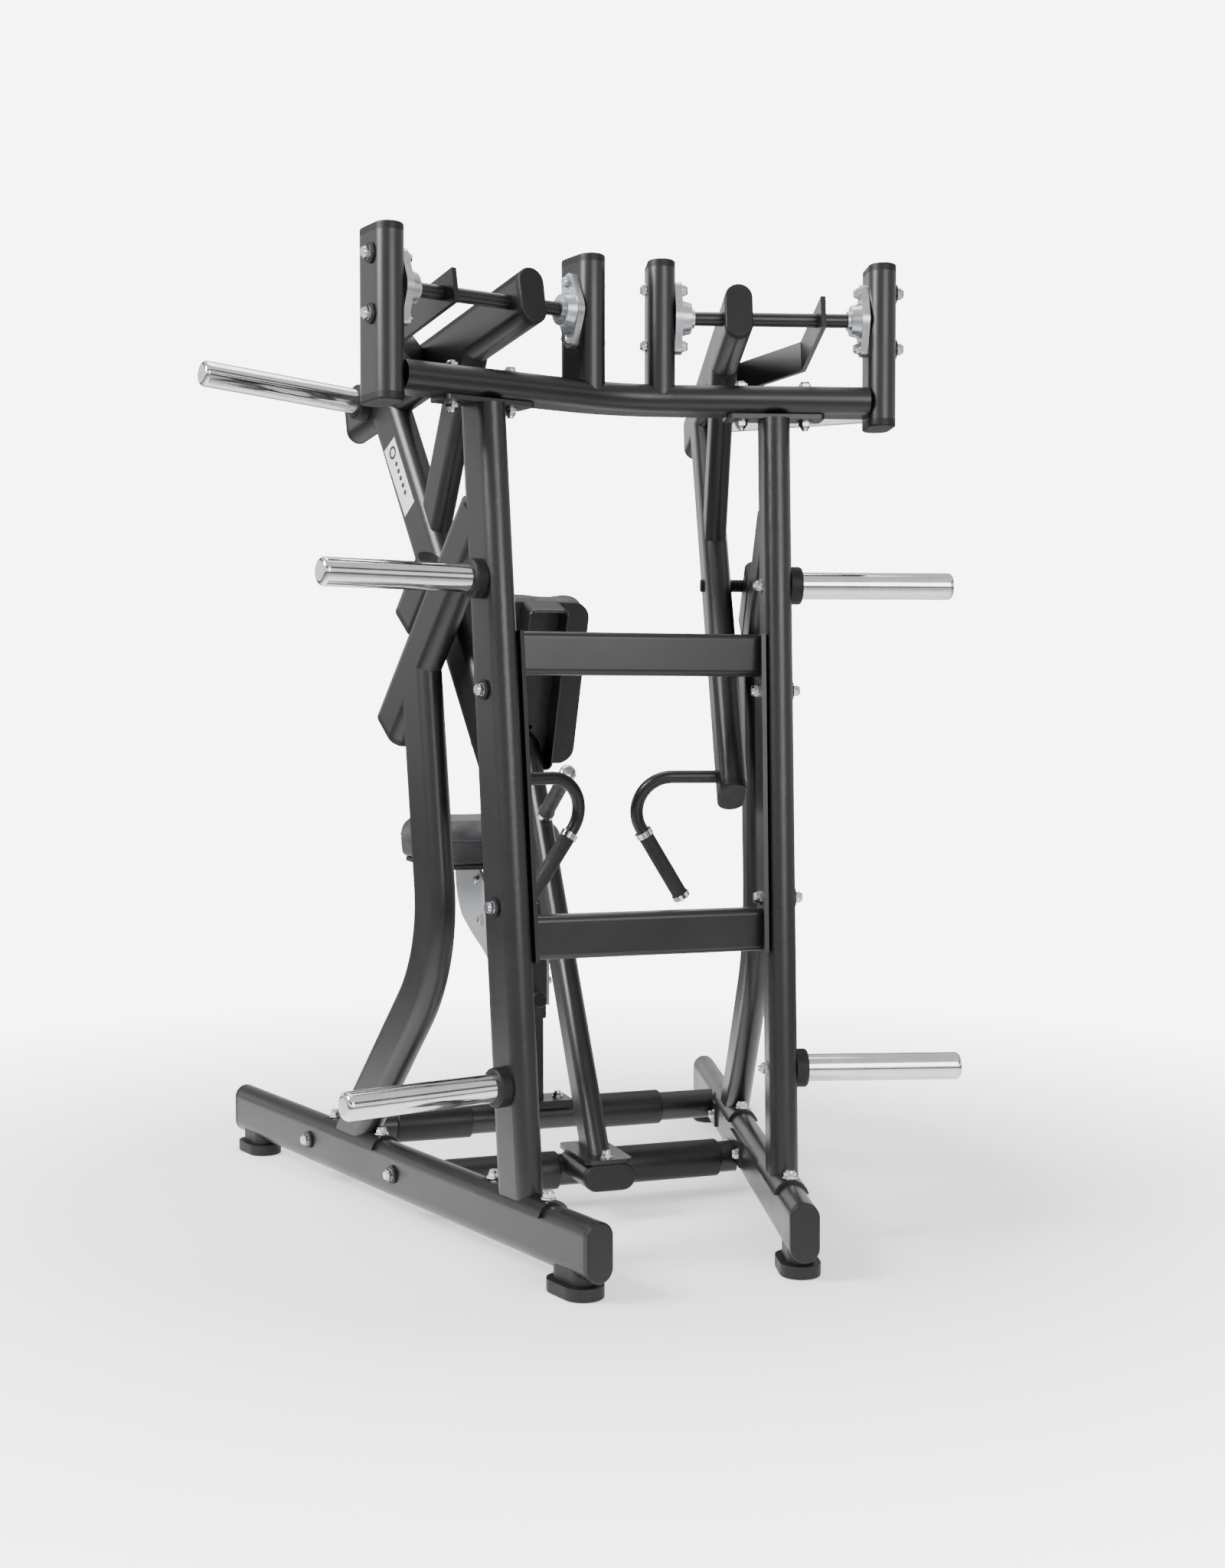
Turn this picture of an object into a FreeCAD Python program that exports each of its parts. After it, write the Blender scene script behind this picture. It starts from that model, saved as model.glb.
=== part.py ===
import FreeCAD, Part
import math
import os

# Plate-loaded, chest-supported rowing machine with two independent levers.
# Millimetres, +Z up, +Y runs from the tower end to the seat end, X = 0 is the mirror plane.
# Each half is drawn in its own side frame: u = outwards along the lever shaft,
# t = along the splayed side (tower to seat), z = up.  The side frame is then swung by SPLAY.

os.makedirs("parts", exist_ok=True)
V = FreeCAD.Vector

# ---------------------------------------------------------------- driving dimensions
SPLAY = 15.0            # each side runs outwards by this angle, degrees
TOWER_Y = 425.0         # tower line on the mirror plane, from the tower end of the base
Y_MID = 782.3           # half of the overall length, moves the origin under the middle
OVAL_L = 100.0          # flat-oval structural tube, long side
OVAL_W = 50.0           # flat-oval structural tube, short side
CAP_T = 14.0            # moulded tube cap, visible thickness
BODY_GAP = 0.3          # air kept between parts that move past each other

RAIL_U = 281.5          # side plane of rails, uprights and diagonals
RAIL_T0 = -364.0        # tower end of the rail, caps included
RAIL_T1 = 1025.0        # seat end of the rail, caps included
RAIL_Z = 82.5           # rail centre height
FOOT_L = 116.0
FOOT_W = 70.0
FOOT_H = 22.0
FOOT_INSET = 75.0

SADDLE_T = 6.0          # pressed saddle wrapped over the rail
SADDLE_NEAR = 88.0      # saddle bolts either side of the tower upright
SADDLE_FAR = 98.0       # and of the bent upright
SADDLE_LOW = 113.0      # lowest edge of the saddle
NEAR_FOOT_T = -121.0    # where the tower upright stands on the rail
FAR_FOOT_T = 484.0      # where the bent upright stands on the rail
UPRIGHT_TOP_T = -2.0
UPRIGHT_TOP_Z = 1467.0

CROSSBAR_Z = 1500.0
CROSSBAR_END_U = 450.0
CROSSBAR_BEND_R = 350.0
FLANGE_T = 8.0
FLANGE_L = 178.0
FLANGE_W = 62.0
WASHER_D = 34.0         # black washers under the outer bolts
WASHER_T = 4.0
RAIL_BOLT_T = (294.0, 652.0)
TOWER_OUT_U = 474.0
TOWER_IN_U = 75.0
TOWER_TOP_Z = 1744.0
TOWER_LOW_Z = 1453.0

SHAFT_T = -10.0         # lever shaft position in the side plane
SHAFT_Z = 1645.5
SHAFT_D = 25.0
SHAFT_CLEAR = 0.05      # radial running clearance in the bearings
BEARING_LONG = 130.0
BEARING_WIDE = 68.0
BEARING_DEPTH = 36.0
BEARING_PITCH = 99.0

LADDER_LOW_Z = 556.0
LADDER_TOP_Z = 1042.0
LADDER_H = 75.0
LADDER_D = 50.0
LADDER_PLATE_T = 8.0

DIAG_T = 149.0          # a point on the axis of the diagonal, and its slope
DIAG_Z = 1117.4
DIAG_LEAN = 40.4        # degrees from vertical
DIAG_LOW = 275.0        # distance from that point to the capped lower end
STOP_HEIGHT = 119.0     # stop face above the diagonal's axis
STOP_FROM = -36.0
STOP_TO = 80.0

BEND_TOP = (220.0, 1000.0)      # bent upright: (t, z) of its three path corners
BEND_MID = (160.0, 497.0)
BEND_R = 300.0

HORN_D = 48.3           # plate horn, fits a 50 mm plate hole
HORN_FREE_U = 604.0
HORN_Z = (310.0, 1168.0)
COLLAR_D = 68.0
COLLAR_T = 22.0

ARM_U = 211.5           # lever plane
ARM_DROP = 11.0         # degrees the loading arm falls away from the shaft
ARM_NEAR = -30.0
ARM_FAR = 640.0
ARM_HORN_T = 533.0
ARM_HORN_TILT = 4.4
ARM_HORN_FREE_U = 574.0
PULL_T = 44.0           # a point on the pull arm's axis
PULL_Z = 822.0
PULL_LEAN = 31.1        # degrees from vertical
PULL_LOW_Z = 797.0
STRUT_L = 80.0
STRUT_W = 42.0
STRUT_TOP = (165.0, 1596.0)
STRUT_LOW = (300.0, 1275.0)
BRACE_U = 363.0
BRACE_ELBOW = 174.0
BRACE_END = 330.0
BRACE_H = 58.0
BRACE_T = 9.0
BUMPER_D = 24.0

HANDLE_D = 24.0
HANDLE_T = 57.0
HANDLE_BEND_R = 65.0
HANDLE_CORNER_U = -9.0
HANDLE_DROP = 59.5      # degrees the grip points below horizontal
HANDLE_TILT = 12.0
GRIP_D = 29.0
GRIP_LEN = 130.0
RING_D = 33.0
RING_W = 11.0

NEAR_CROSS_Y = 622.0
NEAR_CROSS_Z = 68.0
FAR_CROSS_Y = 985.0
FAR_CROSS_Z = 97.0
CROSS_D = 60.0
CROSS_PLATE_T = 6.0
CROSS_BOLT = 52.0       # end-plate bolts either side of a crossmember
STUB_Y = 466.0          # tower end of the centre stub
STUB_Z = 83.0
SLEEVE_D = 72.0
SLEEVE_NEAR = (56.0, 272.0)
SLEEVE_FAR = (130.0, 287.0)

POST_FOOT_Y = 556.0
POST_FOOT_Z = 116.0
POST_LEAN = 30.6        # degrees, top away from the towers
POST_L = 80.0
POST_W = 42.0
POST_GRIP_Z = 712.0     # height on the post of the fixed grip
POST_GRIP_L = 165.0
PAD_LEAN = 20.5         # degrees, top towards the towers
CARRIER_Y = 927.0       # a point on the outer face of the pad carrier
CARRIER_Z = 892.0
CARRIER_W = 84.0
CARRIER_D = 64.0
CARRIER_FROM = -78.0
CARRIER_TO = 270.0
CARRIER_WEB = 10.0      # tray-shaped carrier: web against the pad, open towards the towers
CARRIER_WALL = 5.0
PAD_W = 224.0
PAD_H = 367.0
PAD_T = 60.0
PAD_MID = 90.0
BOARD_T = 9.0
SEAT_BOARD_IN = 20.0    # the seat board stops this far inside the cushion's edge

SEAT_POST_Y = 985.0
SEAT_POST_S = 50.0
SEAT_POST_TOP = 430.0
SEAT_SLEEVE_S = 60.0
SEAT_SLEEVE_Z = (305.0, 545.0)
SEAT_FIT = 0.5
SEAT_W = 318.0
SEAT_L = 384.0
SEAT_Y = 1378.0
SEAT_UNDER_Z = 598.0
SEAT_T = 98.0
GUSSET_T = 6.0

U = V(1, 0, 0)
X = V(1, 0, 0)
T = V(0, 1, 0)
Z = V(0, 0, 1)
written = []
washers = []


# ---------------------------------------------------------------- small builders
def oval_face(centre, along, across, length=OVAL_L, width=OVAL_W):
    """Flat-oval outline: straight sides with half-round ends."""
    flat = along * ((length - width) / 2.0)
    tip = along * (length / 2.0)
    side = across * (width / 2.0)
    a = centre + flat + side
    b = centre - flat + side
    c = centre - flat - side
    d = centre + flat - side
    edges = [
        Part.makeLine(a, b),
        Part.Arc(b, centre - tip, c).toShape(),
        Part.makeLine(c, d),
        Part.Arc(d, centre + tip, a).toShape(),
    ]
    return Part.Face(Part.Wire(edges))


def oval_bar(start, end, along, across, length=OVAL_L, width=OVAL_W):
    return oval_face(start, along, across, length, width).extrude(end - start)


def rounded_face(centre, ex, ey, wide, high, radius):
    """Rectangle with rounded corners in the plane of ex and ey."""
    hx = wide / 2.0
    hy = high / 2.0
    k = radius * (1.0 - math.sqrt(0.5))
    corners = [(1, 1), (-1, 1), (-1, -1), (1, -1)]
    edges = []
    starts = []
    ends = []
    for i, (sx, sy) in enumerate(corners):
        on_x = centre + ex * (sx * (hx - radius)) + ey * (sy * hy)
        on_y = centre + ex * (sx * hx) + ey * (sy * (hy - radius))
        mid = centre + ex * (sx * (hx - k)) + ey * (sy * (hy - k))
        first, last = (on_y, on_x) if i % 2 == 0 else (on_x, on_y)
        starts.append(first)
        ends.append(last)
        edges.append(Part.Arc(first, mid, last).toShape())
        if i > 0:
            edges.insert(len(edges) - 1, Part.makeLine(ends[i - 1], first))
    edges.append(Part.makeLine(ends[3], starts[0]))
    return Part.Face(Part.Wire(edges))


def rounded_bar(start, end, ex, ey, wide, high, radius):
    return rounded_face(start, ex, ey, wide, high, radius).extrude(end - start)


def rod(start, end, diameter):
    run = end - start
    return Part.makeCylinder(diameter / 2.0, run.Length, start, run)


def ring(start, end, outer, inner):
    return rod(start, end, outer).cut(rod(start, end, inner))


def plate(points, thick_dir):
    """Flat plate from a closed list of corner points."""
    face = Part.Face(Part.makePolygon(points + [points[0]]))
    return face.extrude(thick_dir)


def block(x0, x1, y0, y1, z0, z1):
    return Part.makeBox(x1 - x0, y1 - y0, z1 - z0, V(x0, y0, z0))


def hex_head(seat, out, across=19.0, height=9.0, washer=26.0, washer_t=2.5):
    """Washer and hexagon head standing on a surface."""
    out = V(out).normalize()
    ref = Z if abs(out.dot(Z)) < 0.9 else T
    e1 = out.cross(ref).normalize()
    e2 = out.cross(e1).normalize()
    base = seat + out * washer_t
    corner = across / math.sqrt(3.0)
    pts = []
    for i in range(6):
        a = math.radians(60 * i)
        pts.append(base + e1 * (corner * math.cos(a)) + e2 * (corner * math.sin(a)))
    head = plate(pts, out * height)
    dome = Part.makeCone(corner, across * 0.40, height, base, out)
    wide = Part.makeCylinder(corner, height * 0.6, base, out)
    head = head.common(dome.fuse(wide))
    return Part.makeCylinder(washer / 2.0, washer_t, seat, out).fuse(head).removeSplitter()


def washer_and_head(seat, out):
    """Chrome head standing on its own black washer, which goes to the shared washer node."""
    out = V(out).normalize()
    washers.append(Part.makeCylinder(WASHER_D / 2.0, WASHER_T, seat, out))
    return hex_head(seat + out * WASHER_T, out, 19.0, 11.0, 22.0, 1.5)


def nut_and_stud(seat, out, across=22.0, height=12.0, washer=30.0, stud=14.0, reach=19.0):
    out = V(out).normalize()
    body = hex_head(seat, out, across, height, washer)
    return body.fuse(Part.makeCylinder(stud / 2.0, reach, seat, out)).removeSplitter()


def soft_edges(shape, radius, pick):
    edges = [e for e in shape.Edges if pick(e)]
    return shape.makeFillet(radius, edges) if edges else shape


def rim(origin, normal, height):
    """Picks the edges that lie wholly in one plane, at a height along its normal."""
    return lambda e: all(abs((v.Point - origin).dot(normal) - height) < 0.1 for v in e.Vertexes)


def square_post(z0, z1, wide, radius, deep=None):
    """Upright rounded block standing on the seat post's axis."""
    low = V(0, SEAT_POST_Y, z0)
    return rounded_bar(low, V(0, SEAT_POST_Y, z1), X, T, wide, deep or wide, radius)


def right(shape):
    """Side frame to machine frame, right half."""
    s = shape.copy()
    s.rotate(V(0, 0, 0), Z, -SPLAY)
    s.translate(V(0, TOWER_Y, 0))
    return s


def left(shape):
    return right(shape).mirror(V(0, 0, 0), V(1, 0, 0))


def both(shapes):
    out = []
    for s in shapes:
        out.append(right(s))
        out.append(left(s))
    return out


def save(name, shapes):
    """Write one node; a group keeps its solids apart."""
    solids = []
    for s in shapes:
        solids.extend(s.Solids)
    for s in solids:
        if not s.isValid() or s.Volume < 1.0:
            raise ValueError("bad solid in " + name)
    shape = solids[0] if len(solids) == 1 else Part.makeCompound(solids)
    shape = shape.copy()
    shape.translate(V(0, -Y_MID, 0))
    shape.exportStep("parts/" + name + ".step")
    box = shape.BoundBox
    written.append((name, len(solids), box))


def lean(angle):
    """Unit vector in the side plane, leaning away from the towers as it rises."""
    a = math.radians(angle)
    return V(0, math.sin(a), math.cos(a))


# ---------------------------------------------------------------- base
def rail_oval(grow=0.0, t0=RAIL_T0 + CAP_T, t1=RAIL_T1 - CAP_T):
    return oval_bar(V(RAIL_U, t0, RAIL_Z), V(RAIL_U, t1, RAIL_Z), Z, U,
                    OVAL_L + 2 * grow, OVAL_W + 2 * grow)


def tube_cap(centre, outward, along, across, length=OVAL_L, width=OVAL_W, depth=CAP_T):
    """Moulded cap closing a flat-oval tube, with a softened outer edge."""
    cap = oval_bar(centre, centre + outward * depth, along, across, length, width)
    far = centre + outward * depth

    def outer(e):
        return all(abs((v.Point - far).dot(outward)) < 0.01 for v in e.Vertexes)

    return soft_edges(cap, 4.0, outer)


rail = rail_oval()
save("right_rail", [right(rail)])
save("left_rail", [left(rail)])

caps = [
    tube_cap(V(RAIL_U, RAIL_T0 + CAP_T, RAIL_Z), V(0, -1, 0), Z, U),
    tube_cap(V(RAIL_U, RAIL_T1 - CAP_T, RAIL_Z), V(0, 1, 0), Z, U),
]

pads = []
pedestals = []
rail_low = RAIL_Z - OVAL_L / 2.0
for t in (RAIL_T0 + FOOT_INSET, RAIL_T1 - FOOT_INSET):
    pad = oval_bar(V(RAIL_U, t, 0), V(RAIL_U, t, FOOT_H), T, U, FOOT_L, FOOT_W)
    pads.append(soft_edges(pad, 3.0, lambda e: e.BoundBox.ZMax < 0.1))
    stand = oval_bar(V(RAIL_U, t, FOOT_H), V(RAIL_U, t, rail_low + 22.0), T, U, 92.0, 46.0)
    pedestals.append(stand.cut(rail_oval(0.05)))
save("foot_pads", both(pads))
save("foot_pedestals", both(pedestals))

saddles = []
saddle_nuts = []
for t, reach in ((NEAR_FOOT_T, SADDLE_NEAR), (FAR_FOOT_T, SADDLE_FAR)):
    shell = rail_oval(SADDLE_T, t - reach - 16.0, t + reach + 16.0)
    keep = block(RAIL_U - 60, RAIL_U + 60, t - 200, t + 200, SADDLE_LOW, 300.0)
    saddles.append(shell.common(keep).cut(rail))
    top = RAIL_Z + OVAL_L / 2.0 + SADDLE_T
    for side in (-1, 1):
        saddle_nuts.append(hex_head(V(RAIL_U, t + side * reach, top), Z, 19.0, 11.0, 26.0))
save("saddles", both(saddles))
save("saddle_bolts", both(saddle_nuts))


# ---------------------------------------------------------------- uprights and crossbar
saddle_cut = rail_oval(SADDLE_T)
rise = UPRIGHT_TOP_Z - (RAIL_Z + OVAL_L / 2.0)
slope = (UPRIGHT_TOP_T - NEAR_FOOT_T) / rise


def upright_t(z):
    return NEAR_FOOT_T + slope * (z - RAIL_Z - OVAL_L / 2.0)


upright = oval_bar(V(RAIL_U, upright_t(105.0), 105.0), V(RAIL_U, UPRIGHT_TOP_T, UPRIGHT_TOP_Z), T, U)
upright_full = upright.copy()
flange = rounded_bar(V(RAIL_U, 0, UPRIGHT_TOP_Z), V(RAIL_U, 0, UPRIGHT_TOP_Z + FLANGE_T), U, T,
                     FLANGE_L, FLANGE_W, 10.0)
upright = upright.cut(saddle_cut).fuse(flange).removeSplitter()
save("right_upright", [right(upright)])
save("left_upright", [left(upright)])

# the crossbar lies flat, with one smooth bend on the mirror plane
splay = math.radians(SPLAY)
arm_dir = V(math.cos(splay), -math.sin(splay), 0)
back_dir = V(math.sin(splay), math.cos(splay), 0)
apex = V(0, TOWER_Y, CROSSBAR_Z)
tangent = CROSSBAR_BEND_R * math.tan(splay)
centre_y = TOWER_Y - CROSSBAR_BEND_R / math.cos(splay)
bend_on = apex + arm_dir * tangent
bend_off = V(-bend_on.x, bend_on.y, bend_on.z)
bend_mid = V(0, centre_y + CROSSBAR_BEND_R, CROSSBAR_Z)
bar_end = apex + arm_dir * CROSSBAR_END_U
path = Part.Wire([
    Part.makeLine(V(-bar_end.x, bar_end.y, bar_end.z), bend_off),
    Part.Arc(bend_off, bend_mid, bend_on).toShape(),
    Part.makeLine(bend_on, bar_end),
])


def sweep(wire, profile):
    return wire.makePipeShell([profile.OuterWire], True, False, 2)


start = V(-bar_end.x, bar_end.y, bar_end.z)
start_back = V(-back_dir.x, back_dir.y, 0)
crossbar = sweep(path, oval_face(start, start_back, Z))

towers_out = []
tower_caps = []
foot = V(TOWER_OUT_U, 0, TOWER_LOW_Z)
head = V(TOWER_OUT_U, 0, TOWER_TOP_Z)
tower_out = oval_bar(foot + Z * CAP_T, head - Z * CAP_T, T, U)
tower_caps.append(tube_cap(head - Z * CAP_T, Z, T, U))
tower_caps.append(tube_cap(foot + Z * CAP_T, Z * -1, T, U))
tower_in = oval_bar(V(TOWER_IN_U, 0, CROSSBAR_Z), V(TOWER_IN_U, 0, TOWER_TOP_Z - CAP_T), T, U)
tower_caps.append(tube_cap(V(TOWER_IN_U, 0, TOWER_TOP_Z - CAP_T), Z, T, U))
save("outer_towers", both([tower_out]))
crossbar = crossbar.cut(right(tower_out)).cut(left(tower_out))
save("crossbar", [crossbar])
save("inner_towers", [right(tower_in).cut(crossbar), left(tower_in).cut(crossbar)])

flange_bolts = []
for u in (-58.0, 58.0):
    below = V(RAIL_U + u, 4.0, UPRIGHT_TOP_Z)
    flange_bolts.append(nut_and_stud(below, V(0, 0, -1), 20.0, 11.0, 28.0, 12.0, 17.0))
    flange_bolts.append(hex_head(V(RAIL_U + u, 4.0, CROSSBAR_Z + OVAL_W / 2.0), Z, 20.0, 10.0, 28.0))
save("top_flange_bolts", both(flange_bolts))


# ---------------------------------------------------------------- ladder between the uprights
inner_face = RAIL_U - OVAL_W / 2.0
z0 = LADDER_LOW_Z - LADDER_H / 2.0
z1 = LADDER_TOP_Z + LADDER_H / 2.0
strip = [
    V(inner_face - LADDER_PLATE_T, upright_t(z0) - 44.0, z0),
    V(inner_face - LADDER_PLATE_T, upright_t(z0) + 44.0, z0),
    V(inner_face - LADDER_PLATE_T, upright_t(z1) + 44.0, z1),
    V(inner_face - LADDER_PLATE_T, upright_t(z1) - 44.0, z1),
]
ladder_plate = plate(strip, U * LADDER_PLATE_T)
ladder = right(ladder_plate).fuse(left(ladder_plate))
beyond = block(inner_face - LADDER_PLATE_T, 900.0, -600.0, 600.0, 0.0, 1800.0)
for z in (LADDER_LOW_Z, LADDER_TOP_Z):
    spot = right(Part.Vertex(V(inner_face, upright_t(z), z))).Point
    reach_x = spot.x + 20.0
    line_y = spot.y + 6.0
    rung = rounded_bar(V(-reach_x, line_y, z), V(reach_x, line_y, z), T, Z, LADDER_D, LADDER_H, 11.0)
    rung = rung.cut(right(beyond)).cut(left(beyond))
    ladder = ladder.fuse(rung)
save("ladder", [ladder.removeSplitter()])

ladder_bolts = []
for z in (LADDER_LOW_Z + 55.0, LADDER_TOP_Z - 63.0):
    ladder_bolts.append(washer_and_head(V(RAIL_U + OVAL_W / 2.0, upright_t(z), z), U))
    ladder_bolts.append(hex_head(V(inner_face - LADDER_PLATE_T, upright_t(z), z), U * -1, 20.0, 10.0, 26.0))
save("ladder_bolts", both(ladder_bolts))


# ---------------------------------------------------------------- diagonal, stop and bent upright
down = V(0, math.sin(math.radians(DIAG_LEAN)), -math.cos(math.radians(DIAG_LEAN)))
above = V(0, math.cos(math.radians(DIAG_LEAN)), math.sin(math.radians(DIAG_LEAN)))
diag_mid = V(RAIL_U, DIAG_T, DIAG_Z)
diag_low = diag_mid + down * (DIAG_LOW - CAP_T)
diagonal = oval_bar(diag_mid - down * 220.0, diag_low, above, U)
diagonal = diagonal.cut(upright_full)
diagonal = sorted(diagonal.Solids, key=lambda s: s.Volume)[-1]
stop_mid = diag_mid + above * (STOP_HEIGHT - OVAL_L / 2.0)
stop = oval_bar(stop_mid + down * STOP_FROM, stop_mid + down * (STOP_TO - CAP_T), above, U)

foot_point = V(RAIL_U, FAR_FOOT_T, RAIL_Z + OVAL_L / 2.0)
mid_point = V(RAIL_U, BEND_MID[0], BEND_MID[1])
top_point = V(RAIL_U, BEND_TOP[0], BEND_TOP[1])
low_dir = (foot_point - mid_point).normalize()
high_dir = (top_point - mid_point).normalize()
half = low_dir.getAngle(high_dir) / 2.0
leg = BEND_R / math.tan(half)
arc_low = mid_point + low_dir * leg
arc_high = mid_point + high_dir * leg
inward = (low_dir + high_dir).normalize()
arc_centre = mid_point + inward * (BEND_R / math.sin(half))
arc_mid = arc_centre - inward * BEND_R
foot_start = foot_point + low_dir * 60.0
bent_path = Part.Wire([
    Part.makeLine(foot_start, arc_low),
    Part.Arc(arc_low, arc_mid, arc_high).toShape(),
    Part.makeLine(arc_high, top_point + high_dir * 20.0),
])
across_low = low_dir.cross(U).normalize()
bent = sweep(bent_path, oval_face(foot_start, across_low, U))
bent = bent.cut(saddle_cut)
bent = sorted(bent.Solids, key=lambda s: s.BoundBox.ZMax)[-1]
side_frame = diagonal.fuse(stop).fuse(bent).removeSplitter()
side_frame = sorted(side_frame.Solids, key=lambda s: s.Volume)[-1]
save("right_side_strut", [right(side_frame)])
save("left_side_strut", [left(side_frame)])
stop_low = stop_mid + down * (STOP_TO - CAP_T)
stop_high = stop_mid + down * STOP_FROM
strut_caps = [
    tube_cap(diag_low, down, above, U),
    tube_cap(stop_low, down, above, U).cut(diagonal),
    tube_cap(stop_high, down * -1, above, U).cut(diagonal),
]
save("frame_caps", both(tower_caps + strut_caps))


# ---------------------------------------------------------------- plate storage horns
def horn_shape(root, tip, diameter):
    bar = rod(root, tip, diameter)
    aim = (tip - root).normalize()

    def at_tip(e):
        return all(abs((v.Point - tip).dot(aim)) < 0.01 for v in e.Vertexes)

    return soft_edges(bar, 9.0, at_tip)


def collar_shape(root, aim, diameter, depth):
    """Rubber collar between the tube and the horn, rounded on its outer rim."""
    body = rod(root, root + aim * depth, diameter)

    def rim(e):
        out = all(abs((v.Point - root - aim * depth).dot(aim)) < 0.01 for v in e.Vertexes)
        return out

    return soft_edges(body, 6.0, rim)


horns = []
collars = []
horn_nuts = []
outer_face = RAIL_U + OVAL_W / 2.0
for z in HORN_Z:
    t = upright_t(z)
    horns.append(horn_shape(V(outer_face + COLLAR_T, t, z), V(HORN_FREE_U, t, z), HORN_D))
    collars.append(collar_shape(V(outer_face, t, z), U, COLLAR_D, COLLAR_T))
    horn_nuts.append(nut_and_stud(V(inner_face, t, z), U * -1, 19.0, 9.0, 26.0, 10.0, 15.0))
save("storage_horns", both(horns))
save("storage_collars", both(collars))
save("storage_horn_nuts", both(horn_nuts))


# ---------------------------------------------------------------- bearings
def bearing(face_u, out):
    """Two-bolt oval flange bearing standing on a tower face."""
    mid = V(face_u, SHAFT_T, SHAFT_Z)
    end_r = 15.0
    hub_r = BEARING_WIDE / 2.0
    half_long = BEARING_LONG / 2.0 - end_r
    hub = Part.makeCylinder(hub_r, 13.0, mid, out)
    ends = []
    for s in (-1, 1):
        ends.append(Part.makeCylinder(end_r, 13.0, mid + Z * (s * half_long), out))
    a = math.asin((hub_r - end_r) / half_long)
    web_pts = []
    for sy, sz in ((1, 1), (-1, 1), (-1, -1), (1, -1)):
        web_pts.append(mid + T * (sy * end_r * math.cos(a)) + Z * (sz * (half_long + end_r * math.sin(a))))
        web_pts.append(mid + T * (sy * hub_r * math.cos(a)) + Z * (sz * hub_r * math.sin(a)))
    order = [0, 1, 7, 6, 4, 5, 3, 2]
    web = plate([web_pts[i] for i in order], out * 13.0)
    boss = Part.makeCone(31.0, 27.0, 17.0, mid + out * 13.0, out)
    race = Part.makeCylinder(17.5, BEARING_DEPTH, mid, out)
    body = hub.fuse(ends + [web, boss, race])
    bore = Part.makeCylinder(SHAFT_D / 2.0 + SHAFT_CLEAR, 80.0, mid - out * 20.0, out)
    return body.cut(bore).removeSplitter()


outer_in = TOWER_OUT_U - OVAL_W / 2.0
inner_out = TOWER_IN_U + OVAL_W / 2.0
save("bearings", both([bearing(outer_in, U * -1), bearing(inner_out, U)]))
bearing_bolts = []
for s in (-1, 1):
    z = SHAFT_Z + s * BEARING_PITCH / 2.0
    bearing_bolts.append(washer_and_head(V(TOWER_OUT_U + OVAL_W / 2.0, SHAFT_T, z), U))
    bearing_bolts.append(hex_head(V(TOWER_IN_U - OVAL_W / 2.0, SHAFT_T, z), U * -1, 17.0, 9.0, 24.0))
    bearing_bolts.append(hex_head(V(outer_in - 13.0, SHAFT_T, z), U * -1, 17.0, 9.0, 24.0, 2.0))
    bearing_bolts.append(hex_head(V(inner_out + 13.0, SHAFT_T, z), U, 17.0, 9.0, 24.0, 2.0))
save("bearing_bolts", both(bearing_bolts))


# ---------------------------------------------------------------- crossmembers of the base
def crossmember(y, z):
    t = (y - TOWER_Y + inner_face * math.sin(splay)) / math.cos(splay)
    long_x = inner_face * math.cos(splay) + t * math.sin(splay)
    tube = rod(V(-long_x - 30, y, z), V(long_x + 30, y, z), CROSS_D)
    reach = CROSS_BOLT + 14.0
    plate_face = inner_face - CROSS_PLATE_T
    end_plate = block(plate_face, inner_face, t - reach, t + reach, RAIL_Z - 25.0, RAIL_Z + 25.0)
    keep = block(-900.0, inner_face - 4.0, -500.0, 900.0, 0.0, 400.0)
    tube = tube.common(right(keep)).common(left(keep))
    return tube.fuse(right(end_plate)).fuse(left(end_plate)), t


near_cross, near_t = crossmember(NEAR_CROSS_Y, NEAR_CROSS_Z)
far_cross, far_t = crossmember(FAR_CROSS_Y, FAR_CROSS_Z)
stub = oval_bar(V(0, STUB_Y + CAP_T, STUB_Z), V(0, NEAR_CROSS_Y, STUB_Z), X, Z)
near_cross = near_cross.fuse(stub).removeSplitter()
save("near_crossmember", [near_cross])
stub_cap = tube_cap(V(0, STUB_Y + CAP_T, STUB_Z), V(0, -1, 0), X, Z)
save("base_caps", both(caps) + [stub_cap])
save("far_crossmember", [far_cross.removeSplitter()])

sleeves = []
for (a, b), y, z in ((SLEEVE_NEAR, NEAR_CROSS_Y, NEAR_CROSS_Z), (SLEEVE_FAR, FAR_CROSS_Y, FAR_CROSS_Z)):
    for s in (-1, 1):
        sleeve = ring(V(s * a, y, z), V(s * b, y, z), SLEEVE_D, CROSS_D)
        sleeves.append(soft_edges(sleeve, 3.0, lambda e: e.Length > 3.4 * CROSS_D))
save("foot_rest_sleeves", sleeves)

rail_bolts = []
for t in RAIL_BOLT_T:
    rail_bolts.append(washer_and_head(V(RAIL_U + OVAL_W / 2.0, t, RAIL_Z), U))
for t in (near_t, far_t):
    for side in (-1, 1):
        nut_at = V(inner_face - CROSS_PLATE_T, t + side * CROSS_BOLT, RAIL_Z)
        rail_bolts.append(hex_head(nut_at, U * -1, 17.0, 9.0, 22.0))
save("rail_bolts", both(rail_bolts))
save("black_washers", both(washers))


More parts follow.
